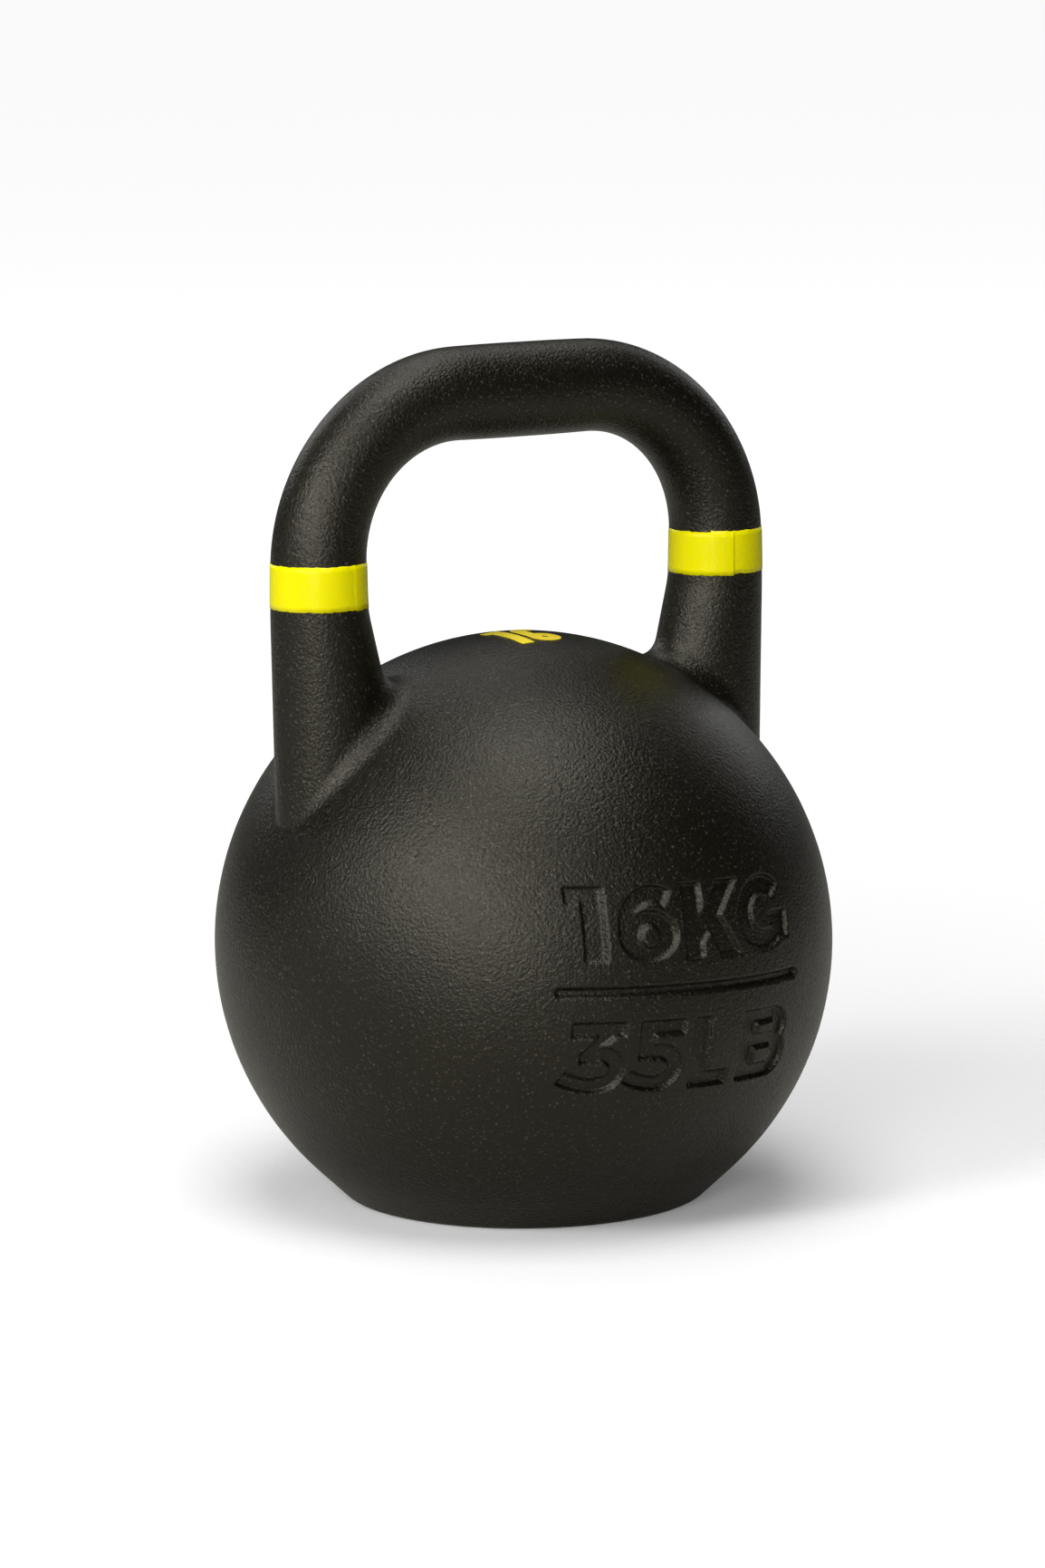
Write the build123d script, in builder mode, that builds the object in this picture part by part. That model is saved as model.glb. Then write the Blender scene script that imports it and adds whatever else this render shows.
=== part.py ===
from build123d import *
from math import sqrt
import os

# Competition-style kettlebell: one hollow iron casting with a colour band round each handle post,
# painted numerals on the crown, and a plug that closes the core hole in the base.
# Frame: origin at the centre of the flat base, +Z up, handle bar along X, weight mark on the -Y side.

# Driving sizes, mm
ball_diameter = 210.0  # the size every bell of this kind shares, whatever it weighs
ball_flattening = 18.2  # how much of the ball is missing below the floor
foot_angle = 46.7  # degrees below the ball's middle, where the foot's straight taper begins
foot_edge_radius = 5.0

window_height = 66.2  # clear height from the crown of the ball to the bar
handle_diameter = 32.0
handle_corner_radius = 54.0  # on the centreline of the two top bends
post_inset = 10.2  # from the side of the ball in to the outside of the post
taper_rise = 14.2  # above the crown by this much, the posts turn from round to widening
root_sink = 3.15  # the roots end with their outer edge this deep inside the ball's surface
root_widening = 19.0  # added there to the handle's diameter, towards the window
root_thickening = 4.0  # added there from front to back
root_outer_draft = 0.8  # how far the post's outer edge leans in on its way down
root_fillet = 8.0

ball_wall = 16.15
base_wall = 20.0
cavity_edge_radius = 10.0

core_hole_diameter = 40.0
plug_shoulder = 6.0  # width of the step between the core hole and the plug's bore
plug_thickness = 8.0
plug_recess = 1.0  # from the floor up to the plug's face
plug_clearance = 0.1  # radial, stands in for the fit of the thread
plug_chamfer = 0.8
gasket_thickness = 1.5
gasket_clearance = 0.5  # radial, round the outside of the gasket
spanner_hole_diameter = 6.0
spanner_hole_depth = 4.0
spanner_hole_inset = 8.0  # from the plug's edge in to the hole's near side

ballast_depth = 8.0  # shot set in resin against the crown of the cavity

band_width = 15.0
band_thickness = 0.2
left_band_gap = 0.5  # from the start of the taper up to the band
right_band_gap = 1.5

mark_depth = 2.0  # how far the weight mark is sunk into the ball
mark_shift = 0.7  # the mark stands this far right of the middle
mark_tilt = -2.0  # degrees, it leans down to the right
cap_height = 24.4
upright_stroke = 7.5
flat_stroke = 5.4
kilogram_baseline = 9.7  # heights in the mark are from the level of the ball's centre
pound_baseline = -34.0
rule_level = 0.2
rule_length = 95.0
rule_thickness = 3.4

numeral_height = 24.0  # crown numerals, along Y
numeral_stroke = 4.6
numeral_film = 0.15  # thickness of the paint
numeral_front = -15.0  # their lower edge

# Places worked out from the sizes
ball_radius = ball_diameter / 2
ball_center = Vector(0, 0, ball_radius - ball_flattening)
crown_height = ball_center.Z + ball_radius
handle_radius = handle_diameter / 2
bar_height = crown_height + window_height + handle_radius
post_x = ball_radius - post_inset - handle_radius
taper_height = crown_height + taper_rise
root_outer = ball_radius - post_inset - root_outer_draft
root_height = ball_center.Z + sqrt((ball_radius - root_sink) ** 2 - root_outer**2)
root_width = handle_diameter + root_widening
root_x = root_outer - root_width / 2
cavity_radius = ball_radius - ball_wall
plug_bore_radius = core_hole_diameter / 2 + plug_shoulder
plug_radius = plug_bore_radius - plug_clearance
gasket_height = plug_recess + plug_thickness
shoulder_height = gasket_height + gasket_thickness


def handle_path():
    """Centreline of the handle: up one post, across the bar and down the other."""
    with BuildLine(Plane.XZ) as path:
        FilletPolyline(
            (-post_x, taper_height),
            (-post_x, bar_height),
            (post_x, bar_height),
            (post_x, taper_height),
            radius=handle_corner_radius,
        )
    return path.line


# Letters and digits are plain strokes: each takes its left edge, baseline, width, height and strokes.


def bar(left, bottom, right, top):
    """An upright rectangle given by its sides."""
    with Locations((left, bottom)):
        Rectangle(right - left, top - bottom, align=(Align.MIN, Align.MIN))


def bend(center, outer, stroke, start, end):
    """A bent stroke: the part of a flat ring between two angles."""
    with BuildLine() as outline:
        far = CenterArc(center, outer, start, end - start)
        near = CenterArc(center, outer - stroke, start, end - start)
        Line(far @ 0, near @ 0)
        Line(far @ 1, near @ 1)
    make_face(outline.edges())


def one(left, base, width, height, upright, flat):
    bar(left + width - upright, base, left + width, base + height)
    bar(left, base + height - flat, left + width, base + height)


def six(left, base, width, height, upright, flat):
    bowl = width / 2
    arm = 0.65 * width
    with Locations((left + bowl, base + bowl)):
        Circle(bowl)
    bend((left + arm, base + height - arm), arm, flat * 1.2, 58, 180)
    bar(left, base + bowl, left + upright, base + height - arm)
    with Locations((left + bowl, base + bowl)):
        Circle(bowl - upright * 0.95, mode=Mode.SUBTRACT)


def kay(left, base, width, height, upright, flat):
    stem = left + upright
    right = left + width
    arm = 1.25 * upright
    bar(left, base, stem, base + height)
    with BuildLine() as arms:
        Polyline(
            (stem, base + 0.62 * height),
            (right - arm, base + height),
            (right, base + height),
            (stem + upright, base + 0.55 * height),
            (right, base),
            (right - arm, base),
            (stem + upright * 0.35, base + 0.32 * height),
            (stem, base + 0.21 * height),
            close=True,
        )
    make_face(arms.edges())


def gee(left, base, width, height, upright, flat):
    outer = height / 2
    center = (left + outer, base + outer)
    right = left + width
    bend(center, outer, upright * 0.9, 42, 318)
    bar(right - upright, base + 0.12 * height, right, base + 0.5 * height)
    bar(left + outer + 0.1 * width, base + 0.5 * height - flat, right, base + 0.5 * height)


def lower_bowl(left, base, width, flat, upright):
    """The bowl and tail that a three and a five share."""
    bowl = 0.45 * width
    tail = 0.64 * width
    bend((left + width - bowl, base + bowl), bowl, upright * 0.86, -90, 100)
    bend((left + width - bowl, base + tail), tail, flat, 222, 270)


def three(left, base, width, height, upright, flat):
    top = base + height
    lower_bowl(left, base, width, flat, upright)
    bar(left + 0.08 * width, top - flat, left + 0.92 * width, top)
    with BuildLine() as neck:
        Polyline(
            (left + 0.92 * width, top - 0.5 * flat),
            (left + 0.92 * width, top - flat),
            (left + 0.58 * width, base + 0.62 * height),
            (left + 0.55 * width, base + 0.47 * height),
            (left + 0.24 * width, base + 0.47 * height),
            (left + 0.24 * width, base + 0.6 * height),
            (left + 0.48 * width, top - flat),
            (left + 0.48 * width, top - 0.5 * flat),
            close=True,
        )
    make_face(neck.edges())


def five(left, base, width, height, upright, flat):
    top = base + height
    lower_bowl(left, base, width, flat, upright)
    bar(left + 0.12 * width, top - flat, left + width, top)
    bar(left + 0.12 * width, base + 0.47 * height, left + 0.12 * width + 0.86 * upright, top)
    bar(left + 0.12 * width, base + 0.47 * height, left + 0.56 * width, base + 0.47 * height + flat)


def ell(left, base, width, height, upright, flat):
    bar(left, base, left + upright, base + height)
    bar(left, base, left + width, base + flat)


def bee(left, base, width, height, upright, flat):
    lower = (height + flat) / 4 + 0.02 * height
    upper = (height + flat) / 2 - lower
    reach = upright * 0.9
    bar(left, base, left + upright, base + height)
    bar(left, base, left + width - lower, base + flat)
    bar(left, base + 2 * lower - flat, left + width - lower, base + 2 * lower)
    bar(left, base + height - flat, left + width - lower, base + height)
    bend((left + width - lower, base + lower), lower, reach, -90, 90)
    bend((left + width - lower, base + height - upper), upper, reach, -90, 90)


# Each glyph of the weight mark: its shape, left edge and width.
kilogram_line = ((one, -43.2, 12.2), (six, -27.1, 20.8), (kay, -3.8, 23.4), (gee, 18.5, 24.2))
pound_line = ((three, -44.4, 21.4), (five, -22.6, 20.0), (ell, 0.6, 16.2), (bee, 21.0, 23.2))
crown_digits = {"crown_one": (one, -10.9, 6.6), "crown_six": (six, -2.2, 11.0)}

lean = Vector(1, 0, 0).rotate(Axis.Y, -mark_tilt)
mark_plane = Plane(origin=(mark_shift, 0, ball_center.Z), x_dir=lean, z_dir=(0, -1, 0))

# The weight mark's cutter: strokes pushed out through the front of the ball, hollowed to the mark's floor
with BuildPart() as mark:
    with BuildSketch(mark_plane):
        for shape, left, width in kilogram_line:
            shape(left, kilogram_baseline, width, cap_height, upright_stroke, flat_stroke)
        for shape, left, width in pound_line:
            shape(left, pound_baseline, width, cap_height, upright_stroke, flat_stroke)
        with Locations((0, rule_level)):
            SlotOverall(rule_length, rule_thickness)
    extrude(amount=ball_diameter)
    with Locations(ball_center):
        Sphere(ball_radius - mark_depth, mode=Mode.SUBTRACT)

# Ball, foot and handle, cast in one piece round a sand core
with BuildPart() as casting:
    with BuildSketch(Plane.YZ):
        with BuildLine():
            shell = CenterArc((0, ball_center.Z), ball_radius, 90, -90 - foot_angle)
            drop = (shell @ 1).Y
            foot = PolarLine(shell @ 1, drop, -90 - foot_angle, length_mode=LengthMode.VERTICAL)
            Polyline(foot @ 1, (0, 0), shell @ 0)
        make_face()
        fillet(vertices().sort_by_distance(foot @ 1)[0], foot_edge_radius)
    revolve()

    with BuildSketch(Plane(origin=(-post_x, 0, taper_height))):
        Circle(handle_radius)
    sweep(path=handle_path())

    # Each post's root runs from the round section to a wide one, its outer edge nearly upright.
    for side in (-1, 1):
        with BuildSketch(Plane(origin=(side * post_x, 0, taper_height))):
            Circle(handle_radius)
        with BuildSketch(Plane(origin=(side * root_x, 0, root_height))):
            Ellipse(root_width / 2, handle_radius + root_thickening / 2)
        loft()

    # Where the posts meet the ball the corner is filled with a soft radius.
    on_ball = edges().filter_by(lambda edge: abs((edge @ 0.5 - ball_center).length - ball_radius) < 0.01)
    upper = on_ball.filter_by(lambda edge: edge.center().Z > ball_center.Z)
    fillet(upper.filter_by(lambda edge: abs(edge.center().X) > 1), root_fillet)

    # The sand core's space: round, with a flat floor over the thicker base
    with BuildSketch(Plane.YZ):
        with Locations((0, ball_center.Z)):
            Circle(cavity_radius)
        with Locations((0, base_wall)):
            Rectangle(cavity_radius, ball_diameter, align=(Align.MIN, Align.MIN), mode=Mode.INTERSECT)
        fillet(vertices().sort_by_distance((cavity_radius, base_wall))[0], cavity_edge_radius)
    revolve(mode=Mode.SUBTRACT)

    # Core hole and the plug's bore, both from below
    with BuildSketch():
        Circle(core_hole_diameter / 2)
    extrude(amount=base_wall + 1, mode=Mode.SUBTRACT)
    with BuildSketch():
        Circle(plug_bore_radius)
    extrude(amount=shoulder_height, mode=Mode.SUBTRACT)

    add(mark.part, mode=Mode.SUBTRACT)

# Vinyl colour bands, wrapped round the posts just above the taper
bands = {}
for name, side, gap in (("left_band", -1, left_band_gap), ("right_band", 1, right_band_gap)):
    with BuildPart() as band:
        with BuildSketch(Plane(origin=(-post_x, 0, taper_height))):
            Circle(handle_radius + band_thickness)
            Circle(handle_radius, mode=Mode.SUBTRACT)
        sweep(path=handle_path())
        split(bisect_by=Plane.XY.offset(taper_height + gap), keep=Keep.TOP)
        split(bisect_by=Plane.XY.offset(taper_height + gap + band_width), keep=Keep.BOTTOM)
        split(bisect_by=Plane.YZ, keep=Keep.TOP if side > 0 else Keep.BOTTOM)
    bands[name] = band.part

# Painted numerals on the crown, between the posts, read from the front
numerals = {}
for name, (shape, left, width) in crown_digits.items():
    with BuildPart() as numeral:
        with BuildSketch(Plane.XY.offset(ball_center.Z)):
            shape(left, numeral_front, width, numeral_height, numeral_stroke, numeral_stroke)
        extrude(amount=ball_diameter)
        with Locations(ball_center):
            Sphere(ball_radius + numeral_film, mode=Mode.INTERSECT)
            Sphere(ball_radius, mode=Mode.SUBTRACT)
    numerals[name] = numeral.part

# Screw plug under the core hole, with two blind holes for a pin spanner
with BuildPart() as core_plug:
    with BuildSketch(Plane.XY.offset(plug_recess)):
        Circle(plug_radius)
    extrude(amount=plug_thickness)
    chamfer(edges().filter_by(GeomType.CIRCLE), plug_chamfer)
    with BuildSketch(Plane.XY.offset(plug_recess)):
        spanner_hole_spacing = 2 * (plug_radius - spanner_hole_inset) - spanner_hole_diameter
        with GridLocations(spanner_hole_spacing, 0, 2, 1):
            Circle(spanner_hole_diameter / 2)
    extrude(amount=spanner_hole_depth, mode=Mode.SUBTRACT)

# Flat rubber ring squeezed between the plug and the shoulder of its bore
with BuildPart() as plug_gasket:
    with BuildSketch(Plane.XY.offset(gasket_height)):
        Circle(plug_bore_radius - gasket_clearance)
        Circle(core_hole_diameter / 2, mode=Mode.SUBTRACT)
    extrude(amount=gasket_thickness)

# Trim ballast, poured in through the core hole with the bell upside down
with BuildPart() as trim_ballast:
    with Locations(ball_center):
        Sphere(cavity_radius)
    split(bisect_by=Plane.XY.offset(ball_center.Z + cavity_radius - ballast_depth), keep=Keep.TOP)

pieces = {
    "casting": casting.part,
    **bands,
    **numerals,
    "core_plug": core_plug.part,
    "plug_gasket": plug_gasket.part,
    "trim_ballast": trim_ballast.part,
}
os.makedirs("parts", exist_ok=True)
for name, piece in pieces.items():
    piece.label = name
    export_step(piece, f"parts/{name}.step")
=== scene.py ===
import bpy
import numpy as np
from mathutils import Matrix, Vector


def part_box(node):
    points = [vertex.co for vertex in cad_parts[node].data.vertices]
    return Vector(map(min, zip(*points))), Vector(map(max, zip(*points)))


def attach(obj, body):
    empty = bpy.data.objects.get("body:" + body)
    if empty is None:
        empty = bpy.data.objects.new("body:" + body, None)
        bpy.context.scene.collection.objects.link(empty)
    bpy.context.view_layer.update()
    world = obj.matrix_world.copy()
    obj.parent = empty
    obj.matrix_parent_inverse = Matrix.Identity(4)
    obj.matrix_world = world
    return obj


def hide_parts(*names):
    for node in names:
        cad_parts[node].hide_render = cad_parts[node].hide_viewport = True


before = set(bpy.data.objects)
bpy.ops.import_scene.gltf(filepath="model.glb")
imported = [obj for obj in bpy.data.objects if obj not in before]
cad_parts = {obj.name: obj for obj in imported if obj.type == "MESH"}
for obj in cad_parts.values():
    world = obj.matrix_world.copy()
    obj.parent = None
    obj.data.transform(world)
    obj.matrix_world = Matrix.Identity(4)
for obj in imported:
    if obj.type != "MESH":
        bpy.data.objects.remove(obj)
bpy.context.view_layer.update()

# A 16 kg competition kettlebell. Lengths are in metres and +Z is up; the weight mark faces -Y.
mm = 0.001
castLow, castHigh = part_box("casting")

# What the casting's ball, foot and hollow are made to. The mesh is fine inside the mark's field, which is
# given in degrees round the ball and up it, and plain elsewhere.
ball = {
    "radius": (castHigh.x - castLow.x) / 2,
    "flattening": 18.2 * mm,
    "footAngle": 46.7,
    "footEdge": 5 * mm,
    "boreEdge": 0.6 * mm,
    "coreEdge": 10 * mm,
    "baseWall": 20 * mm,
    "coreHole": 20 * mm,
    "boreGap": 0.1 * mm,
    "markField": {"left": -31, "right": 31.5, "top": 20.2, "bottom": -20},
    "markStep": 0.47 * mm,
    "plainStep": 5.2 * mm,
}
ballCenter = ball["radius"] - ball["flattening"]

# What the handle is made to. Heights are above the ball's centre.
handle = {
    "postX": 78.8 * mm,
    "postRadius": 16.2 * mm,
    "barRadius": 15.85 * mm,
    "pinch": 0.85 * mm,
    "pinchReach": 65 * mm,
    "bendRadius": 54 * mm,
    "taperHeight": 119.2 * mm,
    "taperEase": 5 * mm,
    "rootHeight": 39.2 * mm,
    "rootWidening": 9.5 * mm,
    "rootThickening": 2 * mm,
    "rootShift": 10.3 * mm,
    "fillet": 8 * mm,
    "buried": 5 * mm,
    "columns": 112,
    "filletRings": 15,
    "postRings": 50,
    "bendRings": 44,
    "barRings": 15,
}

# What the sunk weight mark is made to, in millimetres on the flat behind the ball's front
mark = {
    "shift": 0.7,
    "tilt": -2.0,
    "depth": 1.75,
    "draft": 1.7,
    "lip": 0.5,
    "corner": 0.9,
    "capHeight": 24.4,
    "upright": 7.5,
    "flat": 5.4,
    "kilogramLine": 9.7,
    "poundLine": -34.0,
    "ruleLevel": 0.2,
    "ruleHalf": 45.8,
    "ruleThickness": 3.5,
}


# Distance fields of the mark's strokes: below zero inside a stroke, above zero outside, in millimetres.


# An upright rectangle with round corners: the distance beyond a smaller rectangle, less the corner's radius.
def barField(x, z, left, bottom, right, top):
    across = np.abs(x - (left + right) / 2) - (right - left) / 2 + mark["corner"]
    along = np.abs(z - (bottom + top) / 2) - (top - bottom) / 2 + mark["corner"]
    outside = np.hypot(np.maximum(across, 0), np.maximum(along, 0))
    return outside + np.minimum(np.maximum(across, along), 0) - mark["corner"]


# An oval: its own equation divided by that equation's slope, which is nearly the distance.
def ovalField(x, z, centerX, centerZ, halfWidth, halfHeight):
    sideways, upward = (x - centerX) / halfWidth, (z - centerZ) / halfHeight
    level = np.hypot(sideways, upward)
    slope = np.hypot(sideways / halfWidth, upward / halfHeight)
    return level * (level - 1) / np.maximum(slope, 0.001)


# Part of a flat oval ring: distance from the middle of its stroke, cut by a half plane at each end angle.
def bendField(x, z, centerX, centerZ, halfWidth, halfHeight, stroke, start, end):
    fromX, fromZ = x - centerX, z - centerZ
    ring = np.abs(ovalField(x, z, centerX, centerZ, halfWidth, halfHeight) + stroke / 2) - stroke / 2
    first, last = np.radians(start), np.radians(end)
    beforeStart = np.sin(first) * fromX - np.cos(first) * fromZ
    pastEnd = np.cos(last) * fromZ - np.sin(last) * fromX
    cut = np.maximum(beforeStart, pastEnd) if end - start <= 180 else np.minimum(beforeStart, pastEnd)
    return np.maximum(ring, cut)


# A closed outline: distance to its nearest side, negative where a ray crosses the outline an odd number of
# times.
def outlineField(x, z, corners):
    nearest = np.full(x.shape, np.inf)
    inside = np.zeros(x.shape, bool)
    for (ax, az), (bx, bz) in zip(corners, corners[1:] + corners[:1]):
        sideX, sideZ = bx - ax, bz - az
        share = np.clip(((x - ax) * sideX + (z - az) * sideZ) / (sideX**2 + sideZ**2), 0, 1)
        nearest = np.minimum(nearest, np.hypot(x - ax - share * sideX, z - az - share * sideZ))
        if az != bz:
            inside ^= ((az > z) != (bz > z)) & (x < sideX * (z - az) / sideZ + ax)
    return np.where(inside, -nearest, nearest)


def one(x, z, left, width):
    right, top = left + width, mark["capHeight"]
    stem = barField(x, z, right - mark["upright"], 0, right, top)
    return np.minimum(stem, barField(x, z, left, top - mark["flat"], right, top))


def six(x, z, left, width):
    height, middle = mark["capHeight"], left + width / 2
    body = ovalField(x, z, middle, 0.34 * height, width / 2, 0.34 * height)
    arm = bendField(x, z, left + 0.6 * width, 0.46 * height, 0.6 * width, 0.54 * height, 6.0, 58, 190)
    hollow = ovalField(x, z, middle + 0.5, 0.33 * height, 2.9, 3.2)
    return np.maximum(np.minimum(body, arm), -hollow)


def kay(x, z, left, width):
    height, upright = mark["capHeight"], mark["upright"]
    stem, right = left + upright, left + width
    arms = outlineField(x, z, [
        (stem - 3, 0.5 * height), (stem, 0.62 * height), (right - 1.25 * upright, height), (right, height),
        (stem + upright, 0.55 * height), (right, 0), (right - 1.25 * upright, 0),
        (stem + 0.35 * upright, 0.32 * height), (stem, 0.21 * height), (stem - 3, 0.21 * height),
    ])
    return np.minimum(arms, barField(x, z, left, 0, stem, height))


def gee(x, z, left, width):
    height, upright = mark["capHeight"], mark["upright"]
    outer, right = height / 2, left + width
    ring = bendField(x, z, left + outer, outer, outer, outer, 0.88 * upright, 42, 318)
    spur = barField(x, z, right - upright, 0.12 * height, right, 0.5 * height)
    tongue = barField(x, z, left + outer + 0.1 * width, 0.5 * height - mark["flat"], right, 0.5 * height)
    return np.minimum(ring, np.minimum(spur, tongue))


# The bowl and tail that a three and a five share: an oval ring, and an arc of wider sweep that leaves it
def lowerBowl(x, z, left, width):
    height, center = mark["capHeight"], left + 0.57 * width
    bowl = bendField(x, z, center, 0.335 * height, 0.43 * width, 0.335 * height, 5.7, -100, 130)
    return np.minimum(bowl, bendField(x, z, center, height, 24.4, 24.4, 5.2, 239, 275))


def three(x, z, left, width):
    height, flat = mark["capHeight"], mark["flat"]
    neck = outlineField(x, z, [
        (left + 0.94 * width, 0.97 * height), (left + 0.94 * width, 0.9 * height),
        (left + 0.62 * width, 0.64 * height), (left + 0.64 * width, 0.42 * height),
        (left + 0.28 * width, 0.42 * height), (left + 0.26 * width, 0.55 * height),
        (left + 0.51 * width, height - flat), (left + 0.46 * width, 0.97 * height),
    ])
    top = barField(x, z, left + 0.12 * width, height - flat, left + 0.95 * width, height)
    return np.minimum(lowerBowl(x, z, left, width), np.minimum(neck, top))


def five(x, z, left, width):
    height, flat, side = mark["capHeight"], mark["flat"], left + 0.16 * width
    top = barField(x, z, side, height - flat, left + width, height)
    upright = barField(x, z, side, 0.45 * height, side + 0.8 * mark["upright"], height)
    middle = barField(x, z, side, 0.45 * height, left + 0.66 * width, 0.66 * height)
    return np.minimum(np.minimum(lowerBowl(x, z, left, width), top), np.minimum(upright, middle))


def ell(x, z, left, width):
    foot = barField(x, z, left, 0, left + width, mark["flat"])
    return np.minimum(foot, barField(x, z, left, 0, left + mark["upright"], mark["capHeight"]))


def bee(x, z, left, width):
    height, flat = mark["capHeight"], mark["flat"]
    lower = (height + flat) / 4 + 0.02 * height
    upper = (height + flat) / 2 - lower
    reach, turn = 0.9 * mark["upright"], left + width - lower
    field = barField(x, z, left, 0, left + mark["upright"], height)
    for bottom in (0, 2 * lower - flat, height - flat):
        field = np.minimum(field, barField(x, z, left, bottom, turn + 1.5, bottom + flat))
    field = np.minimum(field, bendField(x, z, turn, lower, lower, lower, reach, -90, 90))
    return np.minimum(field, bendField(x, z, turn, height - upper, upper, upper, reach, -90, 90))


# Each glyph of the mark: its shape, left edge and width
kilogramGlyphs = ((one, -43.2, 12.2), (six, -27.1, 20.8), (kay, -3.8, 23.4), (gee, 18.5, 24.2))
poundGlyphs = ((three, -44.4, 21.4), (five, -22.6, 20.0), (ell, 0.6, 16.2), (bee, 21.0, 23.2))


# Depth of the mark at flat places x, z in metres: nothing outside the strokes, then an eased wall down to a
# level floor. The nearest stroke decides.
def markDepth(x, z):
    flatX, flatZ = x / mm - mark["shift"], z / mm
    cosine, sine = np.cos(np.radians(mark["tilt"])), np.sin(np.radians(mark["tilt"]))
    x, z = flatX * cosine + flatZ * sine, flatZ * cosine - flatX * sine
    ruleX = np.maximum(np.abs(x) - mark["ruleHalf"], 0)
    field = np.hypot(ruleX, z - mark["ruleLevel"]) - mark["ruleThickness"] / 2
    for glyphs, base in ((kilogramGlyphs, mark["kilogramLine"]), (poundGlyphs, mark["poundLine"])):
        for shape, left, width in glyphs:
            field = np.minimum(field, shape(x, z - base, left, width))
    share = np.clip((mark["lip"] - field) / mark["draft"], 0, 1)
    return mark["depth"] * mm * share**2 * (3 - 2 * share)


# A mesh of rings: neighbouring rings are joined by four-sided faces and both ends close on one point each.
# Faces point outward when, seen from outside with the next ring below, each ring runs to the right.
def ringMesh(name, rings, firstEnd, lastEnd, sharpRings=()):
    ringCount, columns = rings.shape[:2]
    points = np.vstack([rings.reshape(-1, 3), firstEnd, lastEnd])
    index = np.arange(ringCount * columns).reshape(ringCount, columns)
    ahead = np.roll(index, -1, axis=1)
    quads = np.stack([index[:-1], index[1:], ahead[1:], ahead[:-1]], -1).reshape(-1, 4)
    firstFan = np.stack([index[0], ahead[0], np.full(columns, index.size)], -1)
    lastFan = np.stack([ahead[-1], index[-1], np.full(columns, index.size + 1)], -1)
    mesh = bpy.data.meshes.new(name)
    mesh.from_pydata(points, [], quads.tolist() + firstFan.tolist() + lastFan.tolist())
    mesh.polygons.foreach_set("use_smooth", np.ones(len(mesh.polygons), bool))
    if sharpRings:
        ends = np.empty(2 * len(mesh.edges), np.int32)
        mesh.edges.foreach_get("vertices", ends)
        row = ends.reshape(-1, 2) // columns
        sharp = (row[:, 0] == row[:, 1]) & np.isin(row[:, 0], [ring % ringCount for ring in sharpRings])
        mesh.attributes.new("sharp_edge", "BOOLEAN", "EDGE").data.foreach_set("value", sharp)
    mesh.update()
    piece = bpy.data.objects.new(name, mesh)
    bpy.context.scene.collection.objects.link(piece)
    return piece


# Evenly spaced steps across each span, finer where the span says so: spans are (start, end, step).
def graded(*spans):
    parts = [np.linspace(a, b, max(2, round(abs(b - a) / step)), endpoint=False) for a, b, step in spans]
    return np.concatenate(parts)


# An arc of a profile of revolution, as (radius, height) pairs
def arcProfile(center, radius, start, end, count):
    angle = np.radians(np.linspace(start, end, count))
    return np.stack([center[0] + radius * np.cos(angle), center[1] + radius * np.sin(angle)], -1)


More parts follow.
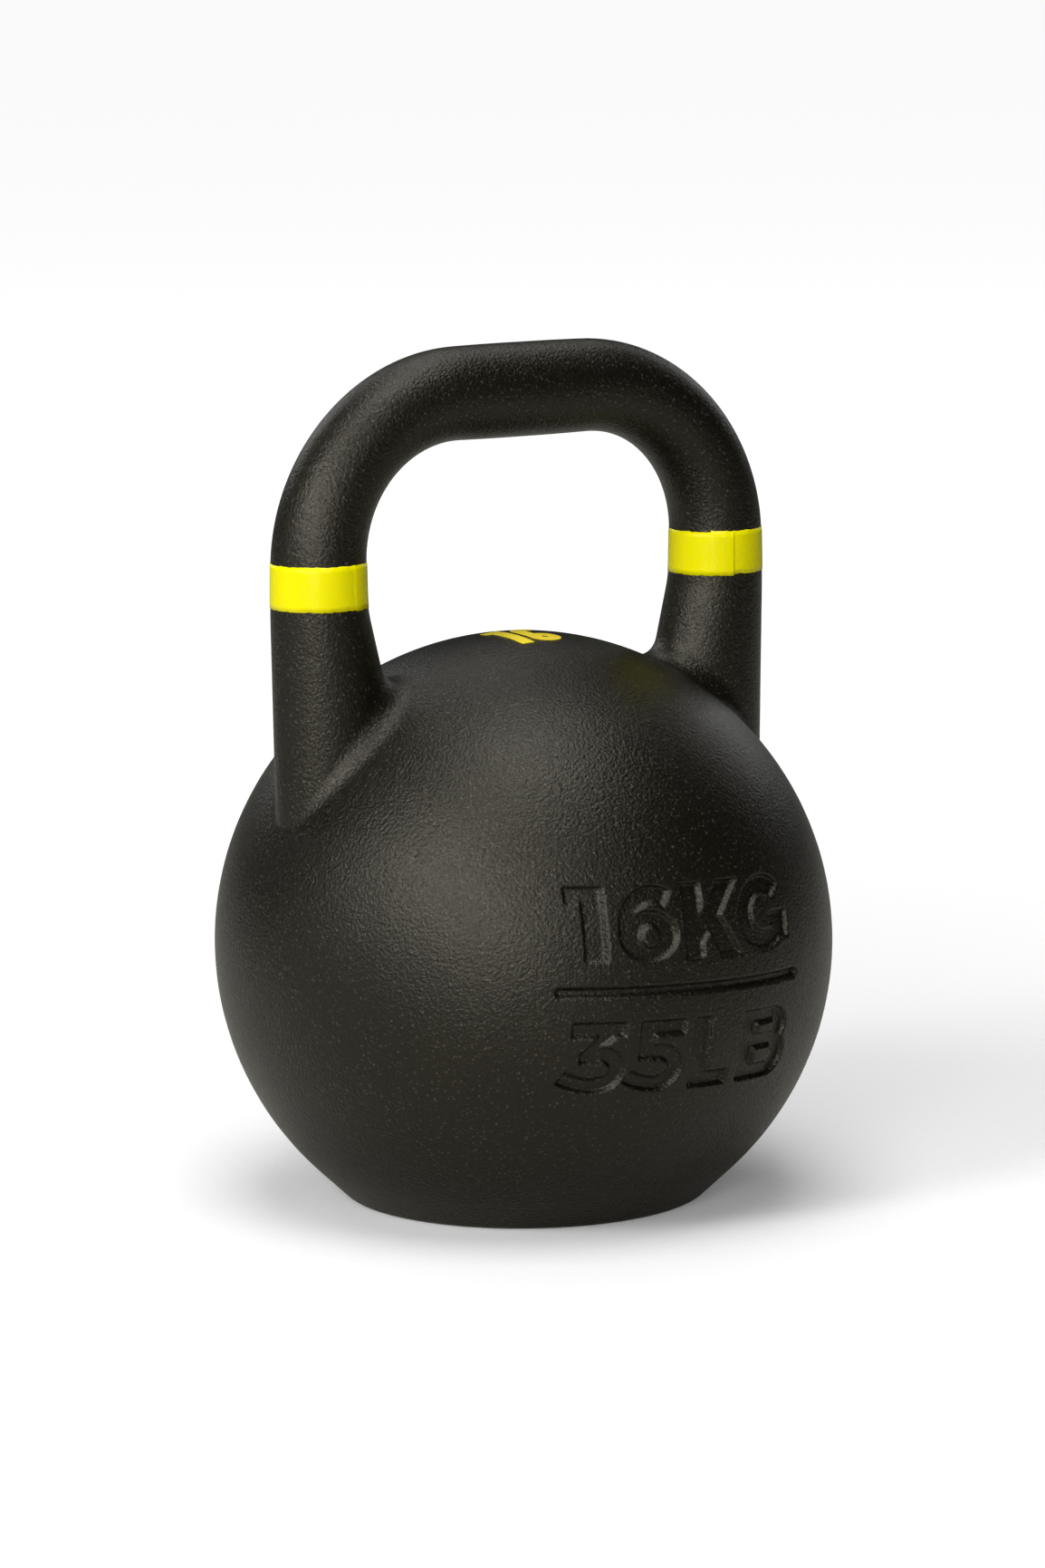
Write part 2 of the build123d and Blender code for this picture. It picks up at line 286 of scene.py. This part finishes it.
# The ball, its foot and its hollow, one closed skin. Outside it is a sphere by longitude and latitude,
# pushed back along +Y where the mark is sunk; below that a profile is turned round the upright axis.
def makeBall():
    radius = ball["radius"]
    fine, plain = np.degrees(ball["markStep"] / radius), np.degrees(ball["plainStep"] / radius)
    field, band = ball["markField"], 0.6 * plain
    longitude = np.radians(graded(
        (-180, field["left"], plain), (field["left"], field["right"], fine), (field["right"], 180, plain)))
    latitude = np.radians(graded(
        (90 - plain / 2, field["top"], band),
        (field["top"], field["bottom"], fine),
        (field["bottom"], -ball["footAngle"], band)))
    turn, rise = np.meshgrid(longitude, latitude)
    x = radius * np.sin(turn) * np.cos(rise)
    y = -radius * np.cos(turn) * np.cos(rise)
    z = radius * np.sin(rise)
    front = (y < -0.7 * radius) & (np.abs(z) < 0.4 * radius)
    floor = radius - markDepth(x[front], z[front])
    y[front] = -np.sqrt(floor**2 - x[front] ** 2 - z[front] ** 2)
    sphere = np.stack([x, y, z + ballCenter], -1)

    lean = np.radians(ball["footAngle"])
    startRadius, startHeight = radius * np.cos(lean), ballCenter - radius * np.sin(lean)
    edge = ball["footEdge"]
    tangent = edge * np.tan((np.pi / 2 - lean) / 2)
    flatRadius = startRadius - startHeight * np.tan(lean) - tangent
    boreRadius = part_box("core_plug")[1].x + ball["boreGap"]
    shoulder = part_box("plug_gasket")[1].z
    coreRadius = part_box("trim_ballast")[1].z - ballCenter
    corner, rim = ball["coreEdge"], ball["boreEdge"]
    cornerHeight = ball["baseWall"] + corner
    cornerRadius = np.sqrt((coreRadius - corner) ** 2 - (ballCenter - cornerHeight) ** 2)
    cornerAngle = np.degrees(np.arctan2(cornerHeight - ballCenter, cornerRadius))
    footArc = arcProfile((flatRadius, edge), edge, -np.degrees(lean), -90, 9)
    cone = np.linspace((startRadius, startHeight), footArc[0], 5)[:-1]
    profile = np.vstack([
        cone,
        footArc,
        np.linspace((flatRadius - 0.4 * mm, 0), (boreRadius + rim, 0), 5),
        arcProfile((boreRadius + rim, rim), rim, -90, -180, 4)[1:],
        [(boreRadius, shoulder)],
        [(boreRadius - 0.2 * mm, shoulder), (ball["coreHole"] + 0.2 * mm, shoulder)],
        [(ball["coreHole"], shoulder + 0.2 * mm), (ball["coreHole"], ball["baseWall"])],
        np.linspace((ball["coreHole"] + 0.3 * mm, ball["baseWall"]), (cornerRadius, ball["baseWall"]), 4),
        arcProfile((cornerRadius, cornerHeight), corner, -90, cornerAngle, 5)[1:],
        arcProfile((0, ballCenter), coreRadius, cornerAngle, 88, 22)[1:],
    ])
    turned = np.stack([
        profile[:, :1] * np.sin(longitude), -profile[:, :1] * np.cos(longitude),
        np.repeat(profile[:, 1:], longitude.size, axis=1)], -1)
    rings = np.concatenate([sphere, turned])
    crown, roof = (0, 0, ballCenter + radius), (0, 0, ballCenter + coreRadius)
    sharp = [len(sphere) + len(cone) + len(footArc) + 4 + step for step in (0, 4, 6, 8)]
    return ringMesh("ballCasting", rings, crown, roof, sharp)


# Radius of the handle by distance along its centreline from the middle of a bend, positive towards the bar:
# it runs evenly from the post's to the bar's, less a pinch shaped as a squared cosine over the bend.
def gripRadius(distance):
    reach = handle["pinchReach"]
    share = np.clip(distance / reach, -1, 1)
    even = handle["postRadius"] + (handle["barRadius"] - handle["postRadius"]) * (share + 1) / 2
    return even - handle["pinch"] * np.cos(share * np.pi / 2) ** 2


barHeight = castHigh.z - ballCenter - handle["barRadius"]
bendStart = barHeight - handle["bendRadius"]


# Section of a post at a height above the ball's centre: centre, half width and half depth. Below the start of
# the taper they grow evenly, and a short parabola eases into that.
def postSection(height):
    drop, ease = handle["taperHeight"] - height, handle["taperEase"]
    eased = np.maximum(drop + ease, 0) ** 2 / (4 * ease)
    share = np.where(drop > ease, drop, eased) / (handle["taperHeight"] - handle["rootHeight"])
    radius = gripRadius(height - bendStart - handle["bendRadius"] * np.pi / 4)
    center = handle["postX"] - share * handle["rootShift"]
    return center, radius + share * handle["rootWidening"], radius + share * handle["rootThickening"]


# Point on a post's skin, moved out level by spread along the section's normal
def postSkin(angle, height, spread):
    center, halfWidth, halfDepth = postSection(height)
    normalX, normalY = np.cos(angle) / halfWidth, np.sin(angle) / halfDepth
    length = np.hypot(normalX, normalY)
    x = center + halfWidth * np.cos(angle) + spread * normalX / length
    return x, halfDepth * np.sin(angle) + spread * normalY / length


# Height at which the skin, moved out by spread, stands lift above the ball: found by halving an interval.
def meetBall(angle, lift, spread):
    low = np.full(np.broadcast(angle, lift, spread).shape, -20 * mm)
    high = np.full(low.shape, bendStart)
    for _ in range(45):
        middle = (low + high) / 2
        x, y = postSkin(angle, middle, spread)
        within = x**2 + y**2 + middle**2 < (ball["radius"] + lift) ** 2
        low, high = np.where(within, middle, low), np.where(within, high, middle)
    return low


# The right post's root, as rings from inside the ball up to the bend. The fillet is a quarter circle in
# (height above the ball, distance from the post); its reach is the fillet's radius times one less the cosine
# between the two skins' normals, which is what a rolled fillet of that radius touches.
def rootRings(angle):
    step = 0.5 * mm
    crease = meetBall(angle, 0.0, 0.0)
    x, y = postSkin(angle, crease, 0.0)
    above = np.array(postSkin(angle, crease + step, 0.0))
    lean = (above[0] - x) * np.cos(angle) + (above[1] - y) * np.sin(angle)
    skinNormal = np.stack([np.cos(angle), np.sin(angle), -lean / step])
    skinNormal /= np.linalg.norm(skinNormal, axis=0)
    ballNormal = np.stack([x, y, crease]) / ball["radius"]
    reach = handle["fillet"] * (1 - (skinNormal * ballNormal).sum(0))

    swing = np.linspace(np.pi / 2, 0, handle["filletRings"])[:, None]
    lift = np.vstack([reach * 0 - handle["buried"], reach * 0 - 0.12 * mm, reach * (1 - np.sin(swing))])
    spread = np.vstack([reach * 0.6, reach + 1.4 * mm, reach * (1 - np.cos(swing))])
    height = meetBall(angle[None, :], lift, spread)
    share = np.linspace(0, 1, handle["postRings"])[1:, None]
    height = np.vstack([height, height[-1] + share * (bendStart - height[-1])])
    spread = np.vstack([spread, np.zeros((len(share), angle.size))])
    x, y = postSkin(angle[None, :], height, spread)
    return np.stack([x, y, height + ballCenter], -1)


# The handle: left root, bend, bar, bend and right root, one closed skin. Between the roots a circle of
# changing radius is carried along the centreline, square to it.
def makeHandle():
    angle = np.linspace(0, 2 * np.pi, handle["columns"], endpoint=False)
    right = rootRings(angle)
    left = right * (-1, 1, 1)
    bend = handle["bendRadius"]
    turn = np.linspace(0, np.pi / 2, handle["bendRings"])[1:]
    half = handle["postX"] - bend
    bendX = -half - bend * np.cos(turn)
    bendZ = bendStart + bend * np.sin(turn)
    barX = np.linspace(-half, 0, handle["barRings"])[1:]
    pathX = np.concatenate([bendX, barX])
    pathZ = np.concatenate([bendZ, np.full(barX.size, barHeight)])
    slope = np.concatenate([turn, np.full(barX.size, np.pi / 2)])
    distance = np.concatenate([(turn - np.pi / 4) * bend, np.pi / 4 * bend + barX + half])
    pathX = np.concatenate([pathX, -pathX[-2::-1]])
    pathZ = np.concatenate([pathZ, pathZ[-2::-1]])
    slope = np.concatenate([slope, np.pi - slope[-2::-1]])
    radius = gripRadius(np.concatenate([distance, distance[-2::-1]]))[:, None]
    across = radius * np.cos(angle)
    rings = np.stack([
        pathX[:, None] - across * np.cos(slope)[:, None],
        radius * np.sin(angle),
        pathZ[:, None] + across * np.sin(slope)[:, None] + ballCenter], -1)
    rings = np.concatenate([left, rings[:-1], right[::-1]])
    endX = handle["postX"] - handle["rootShift"]
    endZ = ballCenter + np.sqrt((ball["radius"] - handle["buried"]) ** 2 - endX**2)
    return ringMesh("handleCasting", rings, (-endX, 0, endZ), (endX, 0, endZ), (1, -2))


ballCasting = makeBall()
handleCasting = makeHandle()
print("casting: ball", len(ballCasting.data.polygons), "faces, handle", len(handleCasting.data.polygons))

# How each colour band is wound: tape sizes, where its lap lies and how crooked it is
bands = {
    "leftBand": {"node": "left_band", "side": -1, "lapAngle": 1.9, "creep": 0.35 * mm, "seed": 3},
    "rightBand": {"node": "right_band", "side": 1, "lapAngle": 4.03, "creep": -0.55 * mm, "seed": 8},
}
tape = {
    "thickness": 0.2 * mm,
    "standOff": 0.02 * mm,
    "lap": 0.5,
    "rideLead": 0.08,
    "rideLength": 0.1,
    "edgeWander": 0.09 * mm,
    "waves": (2, 5, 9, 14, 23, 37),
    "facePoints": 9,
    "outerCorner": 0.75,
    "innerCorner": 0.1,
    "columns": 300,
}


# A band: the tape's section, a flat loop with rounded corners, is carried once round the post and a little
# further, where it rides up over its own start. Its edges wander by a few added sine waves.
def makeBand(name, facts):
    low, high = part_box(facts["node"])
    middle, half = (low.z + high.z) / 2 - ballCenter, (high.z - low.z) / 2
    thick = tape["thickness"]
    travel = np.linspace(0, 2 * np.pi + tape["lap"], tape["columns"])
    angle = facts["lapAngle"] + travel
    counts = np.array(tape["waves"])
    waves = np.random.default_rng(facts["seed"]).uniform(0, 2 * np.pi, (2, counts.size))
    wander = np.sin(travel[:, None, None] * counts + waves).sum(-1) * tape["edgeWander"] / 2
    drift = facts["creep"] * (travel / (2 * np.pi) - 0.5)
    overStart = np.clip((travel - 2 * np.pi + tape["rideLead"]) / tape["rideLength"], 0, 1)
    ride = thick * overStart**2 * (3 - 2 * overStart)

    count = tape["facePoints"]
    up = np.concatenate([np.linspace(-1, 1, count), np.linspace(1, -1, count)])
    out = np.concatenate([np.full(count, 1.0), np.full(count, 0.0)])
    out[[0, count - 1]] = tape["outerCorner"]
    out[[count, -1]] = tape["innerCorner"]
    edge = np.where(up > 0, wander[:, 1:], wander[:, :1])
    height = middle + drift[:, None] + up * (half - tape["edgeWander"]) + edge * np.abs(up)
    center, halfWidth, halfDepth = postSection(height)
    lift = tape["standOff"] + ride[:, None] + out * thick
    x = center + (halfWidth + lift) * np.cos(angle)[:, None]
    y = (halfDepth + lift) * np.sin(angle)[:, None]
    rings = np.stack([x * facts["side"], y * facts["side"], height + ballCenter], -1)
    return ringMesh(name, rings, rings[0].mean(0), rings[-1].mean(0))


bandPieces = {name: makeBand(name, facts) for name, facts in bands.items()}
print("bands wound")


# Materials


# A material with its Principled shader set from a few constants. It comes with one function that adds a node,
# with its inputs linked or set by name or by number (i0, i1), and one that joins an output to the shader.
def newMaterial(name, **constants):
    material = bpy.data.materials.new(name)
    material.use_nodes = True
    tree = material.node_tree
    shader = tree.nodes["Principled BSDF"]
    for socket, value in constants.items():
        shader.inputs[socket.replace("_", " ")].default_value = value

    def add(kind, properties=None, **sockets):
        node = tree.nodes.new("ShaderNode" + kind)
        for key, value in (properties or {}).items():
            setattr(node, key, value)
        for socket, value in sockets.items():
            numbered = socket[0] == "i" and socket[1:].isdigit()
            target = node.inputs[int(socket[1:]) if numbered else socket]
            if isinstance(value, bpy.types.NodeSocket):
                tree.links.new(value, target)
            else:
                target.default_value = value
        return node

    def join(output, socket):
        tree.links.new(output, shader.inputs[socket])

    return material, add, join


# Noise between two values: lowFrom and highFrom of the noise become low and high, clamped
def spread(add, source, lowFrom, highFrom, low, high):
    node = add("MapRange", {"clamp": True}, Value=source)
    node.inputs["From Min"].default_value, node.inputs["From Max"].default_value = lowFrom, highFrom
    node.inputs["To Min"].default_value, node.inputs["To Max"].default_value = low, high
    return node.outputs["Result"]


# Blend of two colours by a factor
def blendColor(add, factor, first, second):
    node = add("Mix", {"data_type": "RGBA"}, i0=factor, i6=first, i7=second)
    return node.outputs[2]


coat = {
    "dark": (0.0034, 0.0030, 0.0018, 1),
    "light": (0.0060, 0.0053, 0.0030, 1),
    "fleck": (0.055, 0.052, 0.038, 1),
    "edgeHighlight": (0.016, 0.015, 0.011, 1),
    "grain": 950,
    "fleckScale": 620,
    "specular": 0.37,
    "specularTint": (1.0, 0.955, 0.79, 1),
    "grainDepth": 0.42 * mm,
    "peel": 260.0,
    "peelDepth": 0.15 * mm,
    "ripple": 28.0,
    "rippleDepth": 0.5 * mm,
    "drift": 14.0,
    "gloss": (0.21, 0.16),
    "grainGloss": 0.26,
}


# Powder coat: a fine sandy bump over a soft orange peel, pale flecks, slow drifts of tone and gloss, and a
# painted highlight on convex edges.
def powderCoat():
    material, add, join = newMaterial(
        "powderCoat", Specular_IOR_Level=coat["specular"], Specular_Tint=coat["specularTint"])
    place = add("TexCoord").outputs["Object"]
    grain = add("TexNoise", Vector=place, Scale=coat["grain"], Detail=2.5, Roughness=0.6).outputs[0]
    peel = add("TexNoise", Vector=place, Scale=coat["peel"], Detail=2.0).outputs[0]
    ripple = add("TexNoise", Vector=place, Scale=coat["ripple"], Detail=1.0).outputs[0]
    drift = add("TexNoise", Vector=place, Scale=coat["drift"], Detail=4.0).outputs[0]
    cells = add("TexVoronoi", Vector=place, Scale=coat["fleckScale"], Randomness=1.0).outputs["Distance"]
    fleck = spread(add, cells, 0.3, 0.12, 0.0, 1.0)
    patchy = spread(add, grain, 0.42, 0.58, 0.0, 1.0)
    fleck = add("Math", {"operation": "MULTIPLY"}, i0=fleck, i1=patchy).outputs[0]
    # Convex edges found by pointiness get a lighter colour: a painted highlight where edges catch light.
    edge = spread(add, add("NewGeometry").outputs["Pointiness"], 0.53, 0.62, 0.0, 0.6)

    tone = blendColor(add, spread(add, drift, 0.35, 0.65, 0.0, 1.0), coat["dark"], coat["light"])
    tone = blendColor(add, edge, tone, coat["edgeHighlight"])
    join(blendColor(add, fleck, tone, coat["fleck"]), "Base Color")
    gloss = spread(add, drift, 0.3, 0.7, *coat["gloss"])
    rough = add("Math", {"operation": "MULTIPLY_ADD"}, i0=grain, i1=coat["grainGloss"], i2=gloss).outputs[0]
    join(rough, "Roughness")

    slow = add("Bump", Strength=0.5, Distance=coat["rippleDepth"], Height=ripple).outputs[0]
    skin = add("Bump", Strength=0.5, Distance=coat["peelDepth"], Height=peel, Normal=slow).outputs[0]
    sand = add("Bump", Strength=1.0, Distance=coat["grainDepth"], Height=grain, Normal=skin).outputs[0]
    join(sand, "Normal")
    return material


vinyl = {
    "bright": (0.76, 0.70, 0.0, 1),
    "dull": (0.72, 0.655, 0.0, 1),
    "dusty": (0.62, 0.56, 0.04, 1),
    "specular": 0.14,
    "drift": 45.0,
    "dust": 420.0,
    "crinkle": 330.0,
    "crinkleDepth": 0.25 * mm,
    "dustDepth": 0.06 * mm,
    "gloss": (0.2, 0.36),
}


# Vinyl tape: glossy film that prints the coat's grain through, with a faint drift of colour and rubbed dust
def bandVinyl():
    material, add, join = newMaterial("bandVinyl", Specular_IOR_Level=vinyl["specular"])
    place = add("TexCoord").outputs["Object"]
    drift = add("TexNoise", Vector=place, Scale=vinyl["drift"], Detail=3.0).outputs[0]
    dust = add("TexNoise", Vector=place, Scale=vinyl["dust"], Detail=4.0, Roughness=0.7).outputs[0]
    crinkle = add("TexNoise", Vector=place, Scale=vinyl["crinkle"], Detail=2.0).outputs[0]
    tone = blendColor(add, spread(add, drift, 0.3, 0.7, 0.0, 1.0), vinyl["bright"], vinyl["dull"])
    tone = blendColor(add, spread(add, dust, 0.6, 0.78, 0.0, 0.45), tone, vinyl["dusty"])
    join(tone, "Base Color")
    join(spread(add, dust, 0.3, 0.75, *vinyl["gloss"]), "Roughness")
    wave = add("Bump", Strength=0.35, Distance=vinyl["crinkleDepth"], Height=crinkle).outputs[0]
    grit = add("Bump", Strength=0.2, Distance=vinyl["dustDepth"], Height=dust, Normal=wave).outputs[0]
    join(grit, "Normal")
    return material


enamel = {
    "bright": (0.86, 0.70, 0.012, 1),
    "deep": (0.80, 0.60, 0.012, 1),
    "chipped": (0.03, 0.027, 0.02, 1),
    "specular": 0.4,
    "grain": 1200.0,
    "grainDepth": 0.1 * mm,
    "chips": 520.0,
    "drift": 90.0,
    "gloss": (0.42, 0.6),
}


# Enamel on the crown: the same grain shows through, and small chips let the dark coat be seen
def crownPaint():
    material, add, join = newMaterial("crownPaint", Specular_IOR_Level=enamel["specular"])
    place = add("TexCoord").outputs["Object"]
    grain = add("TexNoise", Vector=place, Scale=enamel["grain"], Detail=3.0).outputs[0]
    chips = add("TexNoise", Vector=place, Scale=enamel["chips"], Detail=5.0, Roughness=0.75).outputs[0]
    drift = add("TexNoise", Vector=place, Scale=enamel["drift"], Detail=2.0).outputs[0]
    tone = blendColor(add, spread(add, drift, 0.35, 0.65, 0.0, 1.0), enamel["bright"], enamel["deep"])
    tone = blendColor(add, spread(add, chips, 0.68, 0.74, 0.0, 1.0), tone, enamel["chipped"])
    join(tone, "Base Color")
    join(spread(add, grain, 0.3, 0.7, *enamel["gloss"]), "Roughness")
    join(add("Bump", Strength=0.5, Distance=enamel["grainDepth"], Height=grain).outputs[0], "Normal")
    return material


steel = {
    "bright": (0.55, 0.54, 0.52, 1),
    "oxide": (0.27, 0.22, 0.18, 1),
    "rings": 420.0,
    "ringDepth": 0.05 * mm,
    "bloom": 130.0,
    "gloss": (0.27, 0.55),
}


# Turned steel: rings about the upright axis from the cutting tool and a dull oxide bloom
def turnedSteel():
    material, add, join = newMaterial("turnedSteel", Metallic=1.0)
    place = add("TexCoord").outputs["Object"]
    rings = add("TexWave", {"wave_type": "RINGS", "rings_direction": "Z"}, Vector=place,
                Scale=steel["rings"], Distortion=0.6, Detail=2.0).outputs["Fac"]
    bloom = add("TexNoise", Vector=place, Scale=steel["bloom"], Detail=5.0, Roughness=0.6).outputs[0]
    dulled = spread(add, bloom, 0.45, 0.72, 0.0, 0.8)
    join(blendColor(add, dulled, steel["bright"], steel["oxide"]), "Base Color")
    join(spread(add, bloom, 0.3, 0.7, *steel["gloss"]), "Roughness")
    join(add("Bump", Strength=0.35, Distance=steel["ringDepth"], Height=rings).outputs[0], "Normal")
    return material


rubber = {
    "black": (0.012, 0.012, 0.013, 1),
    "talced": (0.07, 0.07, 0.068, 1),
    "specular": 0.35,
    "grain": 1600.0,
    "grainDepth": 0.08 * mm,
    "talc": 160.0,
    "gloss": (0.62, 0.85),
}


# Gasket rubber: matt black with a fine moulded grain and a little talc left on it
def gasketRubber():
    material, add, join = newMaterial("gasketRubber", Specular_IOR_Level=rubber["specular"])
    place = add("TexCoord").outputs["Object"]
    grain = add("TexNoise", Vector=place, Scale=rubber["grain"], Detail=2.0).outputs[0]
    talc = add("TexNoise", Vector=place, Scale=rubber["talc"], Detail=5.0).outputs[0]
    dusted = spread(add, talc, 0.5, 0.75, 0.0, 0.6)
    join(blendColor(add, dusted, rubber["black"], rubber["talced"]), "Base Color")
    join(spread(add, talc, 0.3, 0.7, *rubber["gloss"]), "Roughness")
    join(add("Bump", Strength=0.4, Distance=rubber["grainDepth"], Height=grain).outputs[0], "Normal")
    return material


ballast = {
    "iron": (0.17, 0.16, 0.15, 1),
    "rusty": (0.13, 0.07, 0.04, 1),
    "resin": (0.014, 0.011, 0.008, 1),
    "shot": 520.0,
    "shotDepth": 0.6 * mm,
    "rust": 240.0,
    "gloss": (0.35, 0.6),
}


# Ballast: iron shot showing as round grains in a dark resin
def ballastShot():
    material, add, join = newMaterial("ballastShot")
    place = add("TexCoord").outputs["Object"]
    shot = add("TexVoronoi", Vector=place, Scale=ballast["shot"]).outputs["Distance"]
    rust = add("TexNoise", Vector=place, Scale=ballast["rust"], Detail=4.0).outputs[0]
    metal = spread(add, shot, 0.45, 0.36, 0.0, 1.0)
    tone = blendColor(add, spread(add, rust, 0.4, 0.65, 0.0, 1.0), ballast["iron"], ballast["rusty"])
    join(blendColor(add, metal, ballast["resin"], tone), "Base Color")
    join(metal, "Metallic")
    join(spread(add, rust, 0.3, 0.7, *ballast["gloss"]), "Roughness")
    bump = add("Bump", {"invert": True}, Strength=0.8, Distance=ballast["shotDepth"], Height=shot)
    join(bump.outputs[0], "Normal")
    return material


board = {
    "pale": (0.84, 0.84, 0.84, 1),
    "paler": (0.86, 0.86, 0.86, 1),
    "paintedShadeTone": (0.46, 0.45, 0.41, 1),
    "paintedShadeGlow": (0.05, 0.05, 0.045, 1),
    "specular": 0.2,
    "tooth": 300.0,
    "gloss": (0.8, 0.9),
    "glowFrom": 0.25,
    "glowTo": 2.2,
    "glow": (0.14, 1.1),
}


# The floor: pale matt board with a barely visible tooth. It glows a little, more with distance from the bell,
# in place of the lamps a studio sweep has. Light that bounces off it towards the bell meets a darker colour
# and
# a weaker glow than the camera sees: painted shade on the bell's undersides and shaded sides.
def paleFloor():
    material, add, join = newMaterial("paleFloor", Specular_IOR_Level=board["specular"])
    place = add("TexCoord").outputs["Object"]
    tooth = add("TexNoise", Vector=place, Scale=board["tooth"], Detail=3.0).outputs[0]
    tone = blendColor(add, spread(add, tooth, 0.3, 0.7, 0.0, 1.0), board["pale"], board["paler"])
    # Camera rays see the pale board; other rays see a darker tone and glow: painted shade on the bell.
    seen = add("LightPath").outputs["Is Camera Ray"]
    join(blendColor(add, seen, board["paintedShadeTone"], tone), "Base Color")
    join(blendColor(add, seen, board["paintedShadeGlow"], tone), "Emission Color")
    join(spread(add, tooth, 0.3, 0.7, *board["gloss"]), "Roughness")
    away = add("VectorMath", {"operation": "LENGTH"}, i0=place).outputs["Value"]
    join(spread(add, away, board["glowFrom"], board["glowTo"], *board["glow"]), "Emission Strength")
    return material


coatMaterial, vinylMaterial = powderCoat(), bandVinyl()
for piece in (ballCasting, handleCasting):
    piece.data.materials.append(coatMaterial)
    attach(piece, "root")
    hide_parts("casting")
for name, piece in bandPieces.items():
    piece.data.materials.append(vinylMaterial)
    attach(piece, "root")
    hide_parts(bands[name]["node"])


# A CAD node keeps its shape and takes a new material in every slot
def refinish(node, material):
    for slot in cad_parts[node].material_slots:
        slot.material = material


paint = crownPaint()
refinish("crown_one", paint)
refinish("crown_six", paint)
refinish("core_plug", turnedSteel())
refinish("plug_gasket", gasketRubber())
refinish("trim_ballast", ballastShot())
print("materials set")

# Studio: a pale floor, soft boxes and a camera level with the handle, to the bell's left front
studio = {
    "floorSize": 80.0,
    "airColor": (1.0, 1.0, 1.0, 1),
    "airStrength": 0.02,
    "paperColor": (1, 1, 1, 1),
    "lightDistance": 2.0,
    "lightAim": 0.14,
}
# Soft boxes: azimuth and elevation in degrees as seen from the bell, then width, height and power
softBoxes = {
    "frontBox": (-44, 12, 0.7, 0.7, 15),
    "keyBox": (-77, 30, 0.5, 0.9, 19),
    "highBox": (-57, 28, 0.8, 0.8, 4),
    "rightBox": (-17, 25, 0.8, 0.8, 5),
    "overheadBox": (-32, 78, 1.2, 1.2, 24),
    "sideBox": (-107, 15, 0.9, 0.9, 3.5),
    "backTopBox": (148, 60, 1.2, 1.2, 8),
    "backLeftBox": (-177, 25, 0.9, 0.9, 4),
    "backRightBox": (118, 20, 0.9, 0.9, 2.2),
}


def makeFloor():
    half = studio["floorSize"] / 2
    mesh = bpy.data.meshes.new("floor")
    corners = [(-half, -half, 0), (half, -half, 0), (half, half, 0), (-half, half, 0)]
    mesh.from_pydata(corners, [], [(0, 1, 2, 3)])
    floor = bpy.data.objects.new("floor", mesh)
    floor.data.materials.append(paleFloor())
    bpy.context.scene.collection.objects.link(floor)


# Direction from the bell's middle by azimuth, from -Y towards +X, and elevation, both in degrees
def direction(azimuth, elevation):
    turn, rise = np.radians(azimuth), np.radians(elevation)
    return Vector((np.sin(turn) * np.cos(rise), -np.cos(turn) * np.cos(rise), np.sin(rise)))


def makeLights():
    middle = Vector((0, 0, studio["lightAim"]))
    for name, (azimuth, elevation, width, height, power) in softBoxes.items():
        light = bpy.data.lights.new(name, "AREA")
        light.shape = "RECTANGLE"
        light.size, light.size_y, light.energy = width, height, power
        lamp = bpy.data.objects.new(name, light)
        toward = direction(azimuth, elevation)
        lamp.location = middle + toward * studio["lightDistance"]
        lamp.rotation_euler = toward.to_track_quat("Z", "Y").to_euler()
        bpy.context.scene.collection.objects.link(lamp)
    world = bpy.data.worlds.new("studioAir")
    world.use_nodes = True
    nodes, links = world.node_tree.nodes, world.node_tree.links
    air = nodes["Background"]
    air.inputs[0].default_value, air.inputs[1].default_value = studio["airColor"], studio["airStrength"]
    paper = nodes.new("ShaderNodeBackground")
    paper.inputs[0].default_value = studio["paperColor"]
    seen, mix = nodes.new("ShaderNodeLightPath"), nodes.new("ShaderNodeMixShader")
    links.new(seen.outputs["Is Camera Ray"], mix.inputs[0])
    links.new(air.outputs[0], mix.inputs[1])
    links.new(paper.outputs[0], mix.inputs[2])
    links.new(mix.outputs[0], nodes["World Output"].inputs[0])
    bpy.context.scene.world = world


# The camera stands two metres off, a little above the bell, and looks at a point between ball and bar.
view = {
    "azimuth": -32.07,
    "elevation": 10.862,
    "distance": 2.0,
    "aim": 53.25 * mm,
    "roll": -0.384,
    "sensor": 36.0,
    "lens": 134.92,
    "near": 0.1,
    "far": 60,
}


def makeCamera():
    data = bpy.data.cameras.new("camera")
    data.sensor_width, data.lens = view["sensor"], view["lens"]
    data.clip_start, data.clip_end = view["near"], view["far"]
    camera = bpy.data.objects.new("camera", data)
    toward = direction(view["azimuth"], view["elevation"])
    camera.location = Vector((0, 0, ballCenter)) + toward * view["distance"]
    forward = (Vector((0, 0, ballCenter + view["aim"])) - camera.location).normalized()
    turn = forward.to_track_quat("-Z", "Y").to_matrix() @ Matrix.Rotation(np.radians(view["roll"]), 3, "Z")
    camera.rotation_euler = turn.to_euler()
    bpy.context.scene.collection.objects.link(camera)
    bpy.context.scene.camera = camera


makeFloor()
makeLights()
makeCamera()
bpy.context.scene.view_settings.view_transform = "Standard"
print("studio set")
